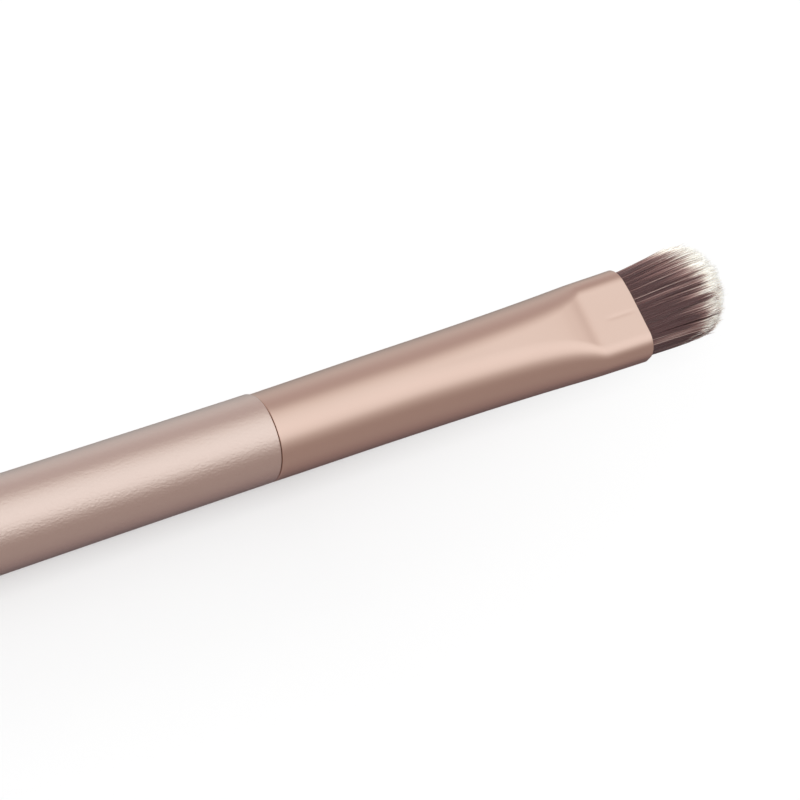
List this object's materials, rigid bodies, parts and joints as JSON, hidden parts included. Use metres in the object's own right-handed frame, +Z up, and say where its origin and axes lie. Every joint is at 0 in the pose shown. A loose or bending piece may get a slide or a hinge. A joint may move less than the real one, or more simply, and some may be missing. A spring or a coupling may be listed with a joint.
{
  "type": "eyeshadow brush",
  "caption": "Small flat cosmetic brush: slim turned handle, metal ferrule that goes from round to flat, and a rounded filbert tuft of soft fibres that bends and springs back.",
  "frame": {"origin": "on the surface the brush lies on, halfway along its length and under its axis", "axes": "+X along the brush from the tail to the tuft, +Z up out of one flat side of the tuft and ferrule, +Y across the flat"},
  "size_m": [0.1702, 0.0082, 0.0076],
  "materials": {
    "handle_lacquered_wood": "satin metallic lacquer over turned wood",
    "ferrule_anodised": "satin rose-gold anodised",
    "adhesive": "cured clear amber glue",
    "resin": "cured amber epoxy",
    "thread": "waxed cotton thread",
    "fibre_root": "dark brown filaments set in resin",
    "fibre_tuft": "soft dark brown filaments with off-white tips"
  },
  "bodies": {
    "brush": {"handle": "handle_lacquered_wood", "ferrule": "ferrule_anodised", "joint_adhesive": "adhesive", "root_resin": "resin", "binding_thread": "thread", "fibre_root": "fibre_root"},
    "tuft": {"fibre_tuft": "fibre_tuft"}
  },
  "joints": [
    {"name": "tuft_flex", "type": "hinge", "parent": "brush", "child": "tuft", "pos_m": [0.0757, 0, 0.00382], "axis": [0, 1, 0], "range_deg": [-25, 25], "stiffness_Nm_per_rad": 0.008}
  ]
}
